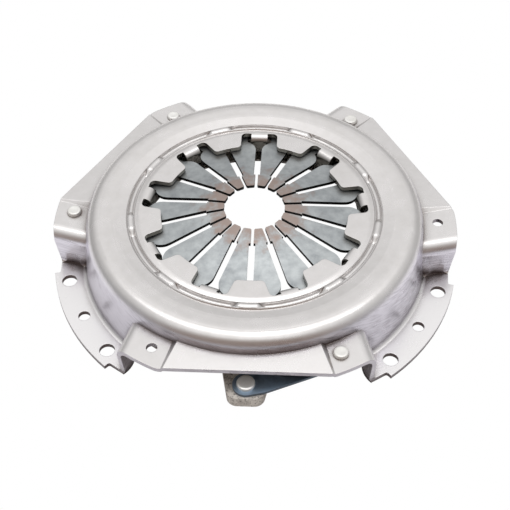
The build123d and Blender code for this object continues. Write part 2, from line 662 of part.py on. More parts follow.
with BuildPart() as balance_rivet:
    balance_angle = BRIDGE_START_ANGLE + 120 * BALANCE_BRIDGE - PAD_HOLE_ANGLE
    with PolarLocations(PAD_HOLE_CIRCLE_R, 1, start_angle=balance_angle):
        add(balance_rivet_form)
save(balance_rivet, "balance_rivet")
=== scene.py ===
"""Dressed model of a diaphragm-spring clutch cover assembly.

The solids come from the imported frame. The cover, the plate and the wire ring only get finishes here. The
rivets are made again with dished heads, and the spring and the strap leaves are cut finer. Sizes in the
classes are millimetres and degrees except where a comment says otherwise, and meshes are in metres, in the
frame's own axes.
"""
import logging
from dataclasses import dataclass
from enum import Enum
from math import cos, pi, radians, sin

import bmesh
import bpy
from mathutils import Matrix, Vector


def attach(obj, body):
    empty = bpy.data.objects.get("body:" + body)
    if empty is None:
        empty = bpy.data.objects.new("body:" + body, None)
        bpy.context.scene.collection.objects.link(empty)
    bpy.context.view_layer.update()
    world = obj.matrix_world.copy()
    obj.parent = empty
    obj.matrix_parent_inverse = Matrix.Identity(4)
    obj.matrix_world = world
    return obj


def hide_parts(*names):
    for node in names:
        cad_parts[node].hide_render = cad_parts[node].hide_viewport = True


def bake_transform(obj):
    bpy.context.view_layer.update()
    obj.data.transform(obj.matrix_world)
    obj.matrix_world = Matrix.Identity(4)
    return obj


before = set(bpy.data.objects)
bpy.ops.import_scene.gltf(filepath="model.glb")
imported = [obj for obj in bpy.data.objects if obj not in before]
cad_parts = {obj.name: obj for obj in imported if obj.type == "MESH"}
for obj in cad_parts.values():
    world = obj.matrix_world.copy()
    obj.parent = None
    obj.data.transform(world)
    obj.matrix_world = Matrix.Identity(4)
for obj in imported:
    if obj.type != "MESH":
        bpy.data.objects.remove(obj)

Tree = bpy.types.NodeTree
Node = bpy.types.Node
Socket = bpy.types.NodeSocket
Material = bpy.types.Material
Piece = bpy.types.Object

MM = 0.001
MERGE_WITHIN = 0.002  # millimetres between points that count as one
CUT_WITHIN = 0.001  # millimetres from a cut at which a point lies on it
NOISE_ROUGHNESS = 0.6
LOG = logging.getLogger("clutch_cover")

COVER_BODY = "cover_assembly"
PLATE_BODY = "plate_assembly"


def hex_colour(code: str) -> tuple[float, float, float, float]:
    """Turn an sRGB hex code into the linear colour that the shaders take.

    Args:
        code: Six hex digits, such as "d8d4d0".

    Returns:
        Linear red, green, blue and an alpha of one.
    """
    parts = [int(code[i:i + 2], 16) / 255 for i in (0, 2, 4)]
    linear = [c / 12.92 if c <= 0.04045 else ((c + 0.055) / 1.055) ** 2.4 for c in parts]
    return linear[0], linear[1], linear[2], 1.0


def add_node(tree: Tree, kind: str, links: dict[int | str, object] | None = None, **settings: object) -> Node:
    """Add one node with its settings, values and links.

    Args:
        tree: The node tree that gets the node.
        kind: The node's type name.
        links: Input name or number to a value, or to the socket that feeds it.
        **settings: Properties of the node itself. `stops` are a colour ramp's stops: pairs of place and
            colour, the colour as sRGB hex or as one grey number.

    Returns:
        The new node.
    """
    node = tree.nodes.new(kind)
    stops = settings.pop("stops", ())
    if stops:
        elements = node.color_ramp.elements
        while len(elements) < len(stops):
            elements.new(0.5)
        for element, (place, shade) in zip(elements, stops):
            element.position = place
            element.color = hex_colour(shade) if isinstance(shade, str) else (shade, shade, shade, 1.0)
    for key, value in settings.items():
        setattr(node, key, value)
    for key, value in (links or {}).items():
        if isinstance(value, Socket):
            tree.links.new(value, node.inputs[key])
        else:
            node.inputs[key].default_value = value
    return node


class Detail(Enum):
    """How wide one feature of a noise pattern is, in millimetres."""

    # stains and uneven oil, a few centimetres across
    BLOTCH = 35.714
    # patches of lighter and darker skin
    MOTTLE = 6.25
    # rolled or sand-cast grain, usually 0.2 to 0.3 mm, drawn four times as coarse so that it shows
    GRAIN = 1.1111
    # peening dimples, usually 0.1 to 0.2 mm, drawn over twice as coarse so that they show
    FINE = 0.38462

    @property
    def scale(self) -> float:
        """Return the noise texture's scale, in features per metre."""
        return 1 / (self.value * MM)


@dataclass(frozen=True)
class MetalFinish:
    """A metal surface: its colour, the mottle and grain on it, and what its cut edges look like."""

    name: str
    slot: str
    colour: str
    shade: str
    roughness: float
    roughness_swing: float = 0.08
    metallic: float = 1.0
    edge_round: float = 0.0
    grain: Detail = Detail.GRAIN
    grain_height: float = 0.02
    mottle_share: float = 0.5
    edge_colour: str | None = None
    # spans of a noise's or a normal's value, from none of the effect to all of it
    colour_span: tuple[float, float] = (0.34, 0.62)
    smooth_span: tuple[float, float] = (0.35, 0.65)
    edge_span: tuple[float, float] = (0.7, 0.3)

    def build(self) -> Material:
        """Make the node material.

        Returns:
            The new material.
        """
        material = bpy.data.materials.new(self.name)
        material.use_nodes = True
        tree = material.node_tree
        shader = tree.nodes["Principled BSDF"]
        place = add_node(tree, "ShaderNodeTexCoord").outputs["Object"]
        blotch, mottle, grain = (
            add_node(
                tree, "ShaderNodeTexNoise",
                {"Vector": place, "Scale": detail.scale, "Detail": octaves, "Roughness": NOISE_ROUGHNESS},
            ).outputs["Fac"]
            for detail, octaves in ((Detail.BLOTCH, 4.0), (Detail.MOTTLE, 5.0), (self.grain, 3.0))
        )
        uneven = add_node(
            tree, "ShaderNodeMix", {0: self.mottle_share, 2: blotch, 3: mottle}, data_type="FLOAT"
        ).outputs[0]
        low, high = self.colour_span
        tone = add_node(
            tree, "ShaderNodeValToRGB", {"Fac": uneven}, stops=((low, self.shade), (high, self.colour))
        ).outputs["Color"]
        tree.links.new(self.colour_details(tree, place, tone), shader.inputs["Base Color"])
        shader.inputs["Metallic"].default_value = self.metallic
        low, high = self.smooth_span
        dull, bright = self.roughness + self.roughness_swing, self.roughness - self.roughness_swing
        rough = add_node(tree, "ShaderNodeMapRange", {0: uneven, 1: low, 2: high, 3: dull, 4: bright})
        tree.links.new(rough.outputs[0], shader.inputs["Roughness"])
        bumps = {"Height": grain, "Distance": self.grain_height * MM, "Strength": 1.0}
        if self.edge_round:
            rounded = add_node(tree, "ShaderNodeBevel", {"Radius": self.edge_round * MM}, samples=6)
            bumps["Normal"] = rounded.outputs["Normal"]
        normal = add_node(tree, "ShaderNodeBump", bumps).outputs["Normal"]
        tree.links.new(self.relief(tree, place, normal), shader.inputs["Normal"])
        self.finish_details(tree, place, shader)
        return material

    def relief(self, tree: Tree, place: Socket, normal: Socket) -> Socket:
        """Return the normal with any larger forms of the finish, which this one doesn't have."""
        return normal

    def finish_details(self, tree: Tree, place: Socket, shader: Node) -> None:
        """Change the other sockets of the shader, which this finish doesn't need."""

    def distance_from_axis(self, tree: Tree, place: Socket) -> Socket:
        """Measure how far a point is from the part's axis.

        Args:
            tree: The material's tree.
            place: The point on the part.

        Returns:
            The socket of the distance.
        """
        flat = add_node(tree, "ShaderNodeVectorMath", {0: place, 1: (1.0, 1.0, 0.0)}, operation="MULTIPLY")
        length = add_node(tree, "ShaderNodeVectorMath", {0: flat.outputs[0]}, operation="LENGTH")
        return length.outputs["Value"]

    def steepness(self, tree: Tree, span: tuple[float, float]) -> Socket:
        """Tell upright faces from level ones.

        Args:
            tree: The material's tree.
            span: How level a face is where the answer is nought, and where it is one.

        Returns:
            The socket of a share, one on upright faces and nought on level ones.
        """
        normal = add_node(tree, "ShaderNodeNewGeometry").outputs["True Normal"]
        up = add_node(tree, "ShaderNodeSeparateXYZ", {0: normal}).outputs["Z"]
        level = add_node(tree, "ShaderNodeMath", {0: up}, operation="ABSOLUTE").outputs[0]
        return add_node(tree, "ShaderNodeMapRange", {0: level, 1: span[0], 2: span[1]}).outputs[0]

    def coated(self, tree: Tree, tone: Socket, coats: tuple[tuple[Socket, str], ...]) -> Socket:
        """Lay coats of colour over a tone, each one over the last.

        Args:
            tree: The material's tree.
            tone: The colour underneath.
            coats: For each coat, the share of it that shows and its sRGB hex colour.

        Returns:
            The socket of the colour on top.
        """
        for share, colour in coats:
            layers = {0: share, 6: tone, 7: hex_colour(colour)}
            tone = add_node(tree, "ShaderNodeMix", layers, data_type="RGBA").outputs[2]
        return tone

    def colour_details(self, tree: Tree, place: Socket, tone: Socket) -> Socket:
        """Darken the cut edges, which face sideways, where the finish has an edge colour.

        Args:
            tree: The material's tree.
            place: The point on the part.
            tone: The mottled colour.

        Returns:
            The socket of the finished colour.
        """
        if self.edge_colour is None:
            return tone
        return self.coated(tree, tone, ((self.steepness(tree, self.edge_span), self.edge_colour),))


@dataclass(frozen=True)
class DrawnSteelFinish(MetalFinish):
    """Deep-drawn steel sheet: crowned top, streaked walls, torn cut edges and painted shade in its corners.
    """

    wall_colour: str = "e4e1ea"
    streak_colour: str = "8f8a94"
    low_colour: str = "e9e7e7"
    tab_edge_colour: str = "8f8b84"
    corner_shade_colour: str = "4a372d"
    wall_span: tuple[float, float] = (0.75, 0.25)
    # radii and heights between which a zone fades in, in millimetres
    dome_rim: tuple[float, float] = (94.0, 99.0)
    tab_reach: tuple[float, float] = (72.0, 70.0)
    low_reach: tuple[float, float] = (34.0, 4.0)
    # streaks drawn out round the wall by the die, longer than they are wide, and slanted
    streak_stretch: float = 0.12
    streak_slant: float = 0.3
    streak_span: tuple[float, float] = (0.22, 0.36)
    streak_share: float = 0.45
    # painted shade in the corners: how far the occlusion looks, the span from none of it to all of it, and
    # its share
    corner_shade_reach: float = 11.0
    corner_shade_span: tuple[float, float] = (0.78, 0.54)
    corner_shade_share: float = 0.9
    # radius and height over the flat of the crown on the dome's outer zone, drawn by the normal alone
    crown: tuple[tuple[float, float], ...] = (
        (83.6, 0.06), (85.0, 0.0), (88.2, 0.30), (90.6, 0.45), (92.5, 0.40), (97.0, 0.0),
    )
    # shallow waves that the die leaves, so low that they hardly show
    ring_spacing: float = 10.053
    ring_height: float = 0.002
    sheared_from: float = 106.0
    sheared_span: tuple[float, float] = (0.55, 0.75)
    sheared_metallic: float = 0.25

    def colour_details(self, tree: Tree, place: Socket, tone: Socket) -> Socket:
        """Tint and streak the drawn walls, then paint shade where surfaces meet in a corner.

        Args:
            tree: The material's tree.
            place: The point on the part.
            tone: The mottled colour.

        Returns:
            The socket of the finished colour.
        """
        radius = self.distance_from_axis(tree, place)
        point = add_node(tree, "ShaderNodeSeparateXYZ", {0: place}).outputs
        outside, inside, low = (
            add_node(tree, "ShaderNodeMapRange", {0: value, 1: start * MM, 2: end * MM}).outputs[0]
            for value, (start, end) in (
                (radius, self.dome_rim), (radius, self.tab_reach), (point["Z"], self.low_reach),
            )
        )
        steep = self.steepness(tree, self.wall_span)
        streak = self.streaks(tree, place, point)
        start, end = self.corner_shade_span
        # painted shade: where surfaces meet in a corner, the occlusion darkens the colour brown
        corner = add_node(tree, "ShaderNodeAmbientOcclusion", {"Distance": self.corner_shade_reach * MM}, samples=8)
        occluded = add_node(
            tree, "ShaderNodeMapRange", {0: corner.outputs["AO"], 1: start, 2: end, 4: self.corner_shade_share}
        ).outputs[0]
        tab_edge, wall, corner_shade = (
            add_node(tree, "ShaderNodeMath", {0: zone, 1: share}, operation="MULTIPLY").outputs[0]
            for zone, share in ((inside, steep), (outside, steep), (outside, occluded))
        )
        streak = add_node(tree, "ShaderNodeMath", {0: streak, 1: wall}, operation="MULTIPLY").outputs[0]
        return self.coated(tree, tone, (
            (low, self.low_colour), (tab_edge, self.tab_edge_colour), (wall, self.wall_colour),
            (streak, self.streak_colour), (corner_shade, self.corner_shade_colour),
        ))

    def streaks(self, tree: Tree, place: Socket, point: bpy.types.NodeOutputs) -> Socket:
        """Draw slanted streaks round the wall, in patches.

        Args:
            tree: The material's tree.
            place: The point on the part.
            point: The same point's three parts.

        Returns:
            The socket of the streaks' share.
        """
        angle = add_node(
            tree, "ShaderNodeMath", {0: point["Y"], 1: point["X"]}, operation="ARCTAN2"
        ).outputs[0]
        wall_radius = self.dome_rim[1] * MM
        arc = add_node(tree, "ShaderNodeMath", {0: angle, 1: wall_radius}, operation="MULTIPLY").outputs[0]
        along = add_node(
            tree, "ShaderNodeMath", {0: arc, 1: self.streak_stretch}, operation="MULTIPLY"
        ).outputs[0]
        across = add_node(
            tree, "ShaderNodeMath", {0: arc, 1: self.streak_slant, 2: point["Z"]}, operation="MULTIPLY_ADD"
        ).outputs[0]
        drawn = add_node(tree, "ShaderNodeCombineXYZ", {"X": along, "Y": across}).outputs[0]
        line, patch = (
            add_node(
                tree, "ShaderNodeTexNoise",
                {"Vector": vector, "Scale": detail.scale, "Detail": 3.0, "Roughness": NOISE_ROUGHNESS},
            ).outputs["Fac"]
            for vector, detail in ((drawn, Detail.GRAIN), (place, Detail.BLOTCH))
        )
        both = add_node(tree, "ShaderNodeMath", {0: line, 1: patch}, operation="MULTIPLY").outputs[0]
        start, end = self.streak_span
        return add_node(
            tree, "ShaderNodeMapRange", {0: both, 1: start, 2: end, 4: self.streak_share}
        ).outputs[0]

    def relief(self, tree: Tree, place: Socket, normal: Socket) -> Socket:
        """Crown the dome's outer zone by nearly half a millimetre and add the die's waves.

        Args:
            tree: The material's tree.
            place: The point on the part.
            normal: The normal with the grain on it.

        Returns:
            The socket of the normal.
        """
        inner, outer = self.crown[0][0], self.crown[-1][0]
        highest = max(height for _, height in self.crown)
        radius = self.distance_from_axis(tree, place)
        along = add_node(tree, "ShaderNodeMapRange", {0: radius, 1: inner * MM, 2: outer * MM}).outputs[0]
        stops = [((at - inner) / (outer - inner), height / highest) for at, height in self.crown]
        crown = add_node(tree, "ShaderNodeValToRGB", {"Fac": along}, stops=stops)
        crown.color_ramp.interpolation = "B_SPLINE"
        # a ring pattern has twenty radians to one unit of its scaled coordinate
        ring_scale = 2 * pi / (self.ring_spacing * MM) / 20.0
        rings = add_node(
            tree, "ShaderNodeTexWave",
            {"Vector": place, "Scale": ring_scale, "Distortion": 0.6, "Detail": 2.0},
            wave_type="RINGS", rings_direction="Z",
        )
        for height, tall in ((crown.outputs["Color"], highest), (rings.outputs["Fac"], self.ring_height)):
            normal = add_node(
                tree, "ShaderNodeBump",
                {"Height": height, "Distance": tall * MM, "Strength": 1.0, "Normal": normal},
            ).outputs["Normal"]
        return normal

    def finish_details(self, tree: Tree, place: Socket, shader: Node) -> None:
        """Make the sheared outer edges matt, as torn metal is.

        Args:
            tree: The material's tree.
            place: The point on the part.
            shader: The material's shader.
        """
        flat = add_node(tree, "ShaderNodeVectorMath", {0: place, 1: (1.0, 1.0, 0.0)}, operation="MULTIPLY")
        outward = add_node(
            tree, "ShaderNodeVectorMath", {0: flat.outputs[0]}, operation="NORMALIZE"
        ).outputs[0]
        normal = add_node(tree, "ShaderNodeNewGeometry").outputs["True Normal"]
        facing = add_node(
            tree, "ShaderNodeVectorMath", {0: normal, 1: outward}, operation="DOT_PRODUCT"
        ).outputs["Value"]
        start, end = self.sheared_span
        sideways = add_node(tree, "ShaderNodeMapRange", {0: facing, 1: start, 2: end}).outputs[0]
        radius = self.distance_from_axis(tree, place)
        beyond = add_node(
            tree, "ShaderNodeMath", {0: radius, 1: self.sheared_from * MM}, operation="GREATER_THAN"
        ).outputs[0]
        sheared = add_node(tree, "ShaderNodeMath", {0: sideways, 1: beyond}, operation="MULTIPLY").outputs[0]
        metallic = add_node(
            tree, "ShaderNodeMapRange", {0: sheared, 3: self.metallic, 4: self.sheared_metallic}
        ).outputs[0]
        tree.links.new(metallic, shader.inputs["Metallic"])


@dataclass(frozen=True)
class TemperedSpringFinish(MetalFinish):
    """Shot-peened spring steel whose finger tips were heated brown when they were hardened."""

    fleck_colour: str = "b4b6b4"
    fleck_span: tuple[float, float] = (0.50, 0.72)
    fleck_share: float = 0.30
    tip_colour: str = "a3928a"
    tip_share: float = 0.9
    # the brown ends between these radii, which wander in and out by up to half of the last size
    tip_reach: tuple[float, float] = (22.0, 34.0)
    tip_wander: float = 52.0

    def colour_details(self, tree: Tree, place: Socket, tone: Socket) -> Socket:
        """Fleck the peened surface, brown the finger tips in patches, then darken the cut edges.

        Args:
            tree: The material's tree.
            place: The point on the part.
            tone: The mottled colour.

        Returns:
            The socket of the finished colour.
        """
        fleck, wobble = (
            add_node(
                tree, "ShaderNodeTexNoise",
                {"Vector": place, "Scale": detail.scale, "Detail": octaves, "Roughness": NOISE_ROUGHNESS},
            ).outputs["Fac"]
            for detail, octaves in ((Detail.GRAIN, 2.0), (Detail.MOTTLE, 5.0))
        )
        start, end = self.fleck_span
        fleck = add_node(
            tree, "ShaderNodeMapRange", {0: fleck, 1: start, 2: end, 4: self.fleck_share}
        ).outputs[0]
        radius = self.distance_from_axis(tree, place)
        reach = add_node(
            tree, "ShaderNodeMath", {0: wobble, 1: self.tip_wander * MM, 2: radius}, operation="MULTIPLY_ADD"
        ).outputs[0]
        start, end = ((limit + self.tip_wander / 2) * MM for limit in self.tip_reach)
        tip = add_node(
            tree, "ShaderNodeMapRange", {0: reach, 1: start, 2: end, 3: self.tip_share, 4: 0.0}
        ).outputs[0]
        tone = self.coated(tree, tone, ((fleck, self.fleck_colour), (tip, self.tip_colour)))
        return super().colour_details(tree, place, tone)


@dataclass(frozen=True)
class CastIronFinish(MetalFinish):
    """Sand-cast iron, dark and pitted, whose downward friction face is ground bright."""

    pit_colour: str = "3f3933"
    pit_span: tuple[float, float] = (0.55, 0.68)
    pit_share: float = 0.7
    ground_colour: str = "a8a4a0"
    ground_span: tuple[float, float] = (-0.9, -0.98)
    ground_share: float = 0.9

    def colour_details(self, tree: Tree, place: Socket, tone: Socket) -> Socket:
        """Pit the cast skin, then grind the face that looks down.

        Args:
            tree: The material's tree.
            place: The point on the part.
            tone: The mottled colour.

        Returns:
            The socket of the finished colour.
        """
        pits = add_node(
            tree, "ShaderNodeTexNoise",
            {"Vector": place, "Scale": Detail.GRAIN.scale, "Detail": 2.0, "Roughness": NOISE_ROUGHNESS},
        ).outputs["Fac"]
        normal = add_node(tree, "ShaderNodeNewGeometry").outputs["True Normal"]
        up = add_node(tree, "ShaderNodeSeparateXYZ", {0: normal}).outputs["Z"]
        pits, ground = (
            add_node(tree, "ShaderNodeMapRange", {0: value, 1: start, 2: end, 4: share}).outputs[0]
            for value, (start, end), share in (
                (pits, self.pit_span, self.pit_share), (up, self.ground_span, self.ground_share),
            )
        )
        return self.coated(tree, tone, ((pits, self.pit_colour), (ground, self.ground_colour)))


# low-carbon steel sheet, deep-drawn and lightly oiled: a pale satin metal with a soft sheen on its
# bends, cooler streaked walls, dull sheared edges and brown painted shade where two surfaces meet
PRESSED_STEEL = DrawnSteelFinish(
    "pressed_steel_satin", "cover_steel", "dddad9", "d2cfcd", 0.30, 0.05, grain_height=0.008, edge_round=0.45,
)
# hardened spring steel, shot-peened: a dull blue-grey with pale flecks, dark cut edges and brown tips
SPRING_STEEL = TemperedSpringFinish(
    "spring_steel_peened", "spring_steel", "b8bcbd", "93979a", 0.41, 0.06, grain=Detail.FINE,
    grain_height=0.02, mottle_share=0.6, edge_colour="343231",
)
# spring-steel strip tempered blue: an even cold blue satin, greyer on its cut edges
STRAP_STEEL = MetalFinish(
    "strap_steel_blued", "strap_steel", "9aaec2", "7b8ea4", 0.45, 0.06, grain_height=0.006,
    edge_colour="6a7480",
)
# mild steel rivets, zinc-plated and pressed: pale and softly bright, with a whitish film on the metal
RIVET_STEEL = MetalFinish(
    "rivet_steel_bright", "rivet_steel", "f2f1ee", "dcdad5", 0.42, 0.08, 0.55, grain_height=0.02,
    edge_round=0.4,
)
# spring wire drawn through a die: a plain, smooth, dark grey line
WIRE_STEEL = MetalFinish(
    "wire_steel_drawn", "wire_steel", "9a9896", "7e7b79", 0.35, 0.06, grain_height=0.01,
)
# grey cast iron with its sand-cast skin: rough, mottled and pitted, and bright and even where it is ground
CAST_IRON = CastIronFinish(
    "plate_iron_cast", "plate_iron", "efe8e0", "a49c95", 0.50, 0.10, 0.6, grain_height=0.2, mottle_share=0.7,
)


def dress(piece: Piece, material: Material) -> None:
    """Give a piece one finish.

    Args:
        piece: The piece, whose own materials are dropped.
        material: The finish's material.
    """
    piece.data.materials.clear()
    piece.data.materials.append(material)


def node_copy(node: str, name: str) -> Piece:
    """Copy a solid of the frame as a new piece with its loose triangles joined.

    Args:
        node: Name of the solid.
        name: Name of the new piece.

    Returns:
        The new object, at the origin.
    """
    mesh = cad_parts[node].data.copy()
    mesh.name = name
    piece = bpy.data.objects.new(name, mesh)
    bpy.context.scene.collection.objects.link(piece)
    work = bmesh.new()
    work.from_mesh(mesh)
    bmesh.ops.remove_doubles(work, verts=work.verts, dist=MERGE_WITHIN * MM)
    work.to_mesh(mesh)
    work.free()
    return piece


def smooth_by_angle(piece: Piece, limit: float = 30.0) -> None:
    """Shade a piece smooth except over sharp edges.

    Args:
        piece: The piece, whose own normals are dropped.
        limit: The angle past which an edge stays sharp, in degrees.
    """
    mesh = piece.data
    if mesh.has_custom_normals:
        mesh.attributes.remove(mesh.attributes["custom_normal"])
    mesh.shade_smooth()
    mesh.set_sharp_from_angle(angle=radians(limit))


@dataclass
class DiaphragmSpring:
    """The slotted spring, made of one sector for each finger and cut across its rim."""

    fingers: int = 18
    flex_start: float = 76.0
    flex_end: float = 89.0
    rim_cuts: tuple[float, ...] = (74.0, 76.0, 78.0, 80.0, 82.0, 84.0, 86.0, 88.0, 90.0, 92.0)

    def build(self, material: Material) -> list[Piece]:
        """Cut the spring into sectors, each one a closed mesh.

        Args:
            material: The spring's finish.

        Returns:
            The sectors, in order round the axis.
        """
        source = node_copy("diaphragm_spring", "spring_whole")
        sectors = [self.sector(source, index) for index in range(self.fingers)]
        bpy.data.objects.remove(source)
        for sector in sectors:
            dress(sector, material)
        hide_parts("diaphragm_spring")
        return sectors

    def sector(self, source: Piece, index: int) -> Piece:
        """Cut one finger with its piece of the rim out of the whole spring.

        Args:
            source: The whole spring.
            index: The finger's number, counted from nought.

        Returns:
            The finger as its own object.
        """
        middle = 2 * pi * index / self.fingers
        half = pi / self.fingers
        work = bmesh.new()
        work.from_mesh(source.data)
        for side in (-1, 1):
            angle = middle + side * half
            outward = Vector((-sin(angle) * side, cos(angle) * side, 0))
            cut = bmesh.ops.bisect_plane(
                work, geom=work.verts[:] + work.edges[:] + work.faces[:], dist=CUT_WITHIN * MM,
                plane_co=(0, 0, 0), plane_no=outward, clear_outer=True,
            )
            rim = [item for item in cut["geom_cut"] if isinstance(item, bmesh.types.BMEdge)]
            rim = [edge for edge in rim if edge.is_boundary]
            bmesh.ops.holes_fill(work, edges=rim, sides=0)
        along = Vector((cos(middle), sin(middle), 0))
        for reach in self.rim_cuts:
            bmesh.ops.bisect_plane(
                work, geom=work.verts[:] + work.edges[:] + work.faces[:], dist=CUT_WITHIN * MM,
                plane_co=along * reach * MM, plane_no=along,
            )
        mesh = bpy.data.meshes.new(f"spring_finger_{index + 1:02d}")
        work.to_mesh(mesh)
        work.free()
        piece = bpy.data.objects.new(mesh.name, mesh)
        bpy.context.scene.collection.objects.link(piece)
        smooth_by_angle(piece)
        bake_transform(piece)
        return piece


@dataclass
class StrapLeaves:
    """The three packs of strap leaves, each one bending between the cover's pad and the plate's lug."""

    packs: int = 3
    stations: int = 26
    clamped: float = 7.0
    layers: tuple[str, ...] = ("lower", "upper")
    lug_rivet: tuple[float, float] = (110.3, 0.4)
    pad_circle: float = 110.3
    pad_angle: float = 28.06
    first_bridge: float = 30.0
    bridge_step: float = 120.0

    def build(self, material: Material) -> list[Piece]:
        """Make every leaf.

        Args:
            material: The leaves' finish.

        Returns:
            The leaves.
        """
        leaves = []
        for pack in range(self.packs):
            lug, pad = self.ends(pack)
            for layer in self.layers:
                leaves.append(self.leaf(f"strap_{pack + 1}_leaf_{layer}", lug, pad, material))
        return leaves

    def ends(self, pack: int) -> tuple[Vector, Vector]:
        """Find where a pack is riveted.

        Args:
            pack: The pack's number, counted from nought.

        Returns:
            The places of its lug rivet and of its pad rivet, in metres.
        """
        turn = Matrix.Rotation(radians(self.first_bridge + self.bridge_step * pack), 3, "Z")
        lug = turn @ Vector((*self.lug_rivet, 0)) * MM
        angle = radians(self.pad_angle)
        pad = turn @ Vector((cos(angle), sin(angle), 0)) * self.pad_circle * MM
        return lug, pad

    def leaf(self, node: str, lug: Vector, pad: Vector, material: Material) -> Piece:
        """Slice one leaf across its length.

        Args:
            node: The solid that the leaf stands for.
            lug: Place of its lug rivet.
            pad: Place of its pad rivet.
            material: The leaf's finish.

        Returns:
            The leaf.
        """
        piece = node_copy(node, f"{node}_flexing")
        along = (pad - lug).normalized()
        work = bmesh.new()
        work.from_mesh(piece.data)
        for station in range(1, self.stations):
            bmesh.ops.bisect_plane(
                work, geom=work.verts[:] + work.edges[:] + work.faces[:], dist=CUT_WITHIN * MM,
                plane_co=lug.lerp(pad, station / self.stations), plane_no=along,
            )
        work.to_mesh(piece.data)
        work.free()
        smooth_by_angle(piece)
        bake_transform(piece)
        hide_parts(node)
        dress(piece, material)
        return piece


@dataclass
class Solids:
    """The pieces that keep their own solids and only get a finish."""

    finishes: tuple[tuple[str, MetalFinish], ...] = (
        ("cover", PRESSED_STEEL), ("fulcrum_wire_ring", WIRE_STEEL), ("pressure_plate", CAST_IRON),
    )

    def build(self, materials: dict[str, Material]) -> list[Piece]:
        """Dress every solid of the table.

        Args:
            materials: Finish name to material.

        Returns:
            The dressed solids.
        """
        for node, finish in self.finishes:
            dress(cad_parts[node], materials[finish.name])
        return [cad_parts[node] for node, _ in self.finishes]


class RoundPattern:
    """A Geometry Nodes tree that makes one form and repeats it round the part's axis."""

    sharp_angle = 40.0

    def __init__(self, name: str, sizes: dict[str, float]) -> None:
        """Start the tree with one named input for each size.

        Args:
            name: Name of the tree and of its piece.
            sizes: Input name to size. "First Angle" and "Step Angle" say where the forms stand.
        """
        self.name = name
        self.sizes = sizes
        self.tree = bpy.data.node_groups.new(name, "GeometryNodeTree")
        kinds = {**dict.fromkeys(sizes, "Float"), "Count": "Int", "Finish": "Material"}
        for label, kind in kinds.items():
            self.tree.interface.new_socket(label, in_out="INPUT", socket_type=f"NodeSocket{kind}")
        self.tree.interface.new_socket("Geometry", in_out="OUTPUT", socket_type="NodeSocketGeometry")
        self.inputs = add_node(self.tree, "NodeGroupInput").outputs

    def total(self, *terms: str) -> Socket:
        """Add up named sizes, taking away each one that has a minus sign before it.

        Args:
            *terms: Names of inputs, with a leading "-" for those to take away.

        Returns:
            The socket of the sum.
        """
        value = self.inputs[terms[0]]
        for term in terms[1:]:
            operation = "SUBTRACT" if term.startswith("-") else "ADD"
            size = self.inputs[term.lstrip("-")]
            value = add_node(self.tree, "ShaderNodeMath", {0: value, 1: size}, operation=operation).outputs[0]
        return value

    def repeat(self, form: Socket) -> None:
        """Put a form at every station round the axis, make it real and give it its finish.

        Args:
            form: The socket of the form's geometry, in millimetres.
        """
        tree = self.tree
        index = add_node(tree, "GeometryNodeInputIndex").outputs[0]
        degrees = add_node(
            tree, "ShaderNodeMath", {0: index, 1: self.inputs["Step Angle"], 2: self.inputs["First Angle"]},
            operation="MULTIPLY_ADD",
        ).outputs[0]
        angle = add_node(tree, "ShaderNodeMath", {0: degrees}, operation="RADIANS").outputs[0]
        turn = add_node(tree, "ShaderNodeCombineXYZ", {"Z": angle}).outputs[0]
        turn = add_node(tree, "FunctionNodeEulerToRotation", {0: turn}).outputs[0]
        stations = add_node(tree, "GeometryNodePoints", {"Count": self.inputs["Count"]}).outputs[0]
        placed = add_node(
            tree, "GeometryNodeInstanceOnPoints",
            {"Points": stations, "Instance": form, "Rotation": turn, "Scale": (MM, MM, MM)},
        ).outputs[0]
        real = add_node(tree, "GeometryNodeRealizeInstances", {0: placed}).outputs[0]
        dressed = add_node(
            tree, "GeometryNodeSetMaterial", {0: real, "Material": self.inputs["Finish"]}
        ).outputs[0]
        add_node(tree, "NodeGroupOutput", {"Geometry": dressed})

    def make(self, body: str, finish: MetalFinish, material: Material, count: int) -> Piece:
        """Run the tree and keep its plain mesh.

        Args:
            body: The body that the piece rides on.
            finish: The piece's finish; not used.
            material: The finish's material.
            count: How many forms there are.

        Returns:
            The piece.
        """
        values = {**self.sizes, "Count": count, "Finish": material}
        host = bpy.data.objects.new(f"{self.name}_host", bpy.data.meshes.new(f"{self.name}_host"))
        bpy.context.scene.collection.objects.link(host)
        modifier = host.modifiers.new("form", "NODES")
        modifier.node_group = self.tree
        for item in self.tree.interface.items_tree:
            if item.in_out == "INPUT":
                modifier[item.identifier] = values[item.name]
        graph = bpy.context.evaluated_depsgraph_get()
        mesh = bpy.data.meshes.new_from_object(host.evaluated_get(graph), depsgraph=graph)
        bpy.data.objects.remove(host)
        mesh.name = self.name
        piece = bpy.data.objects.new(self.name, mesh)
        bpy.context.scene.collection.objects.link(piece)
        smooth_by_angle(piece, self.sharp_angle)
        dress(piece, material)
        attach(piece, body)
        return piece


@dataclass(frozen=True)
class RivetRing:
    """Equal rivets round the axis: where they stand, the sizes of their heads and the solids they replace."""

    name: str
    body: str
    solids: tuple[str, ...]
    first_angle: float
    head_radius: float
    head_base: float
    head_height: float
    closed_base: float
    dish_radius: float
    dish_floor: float


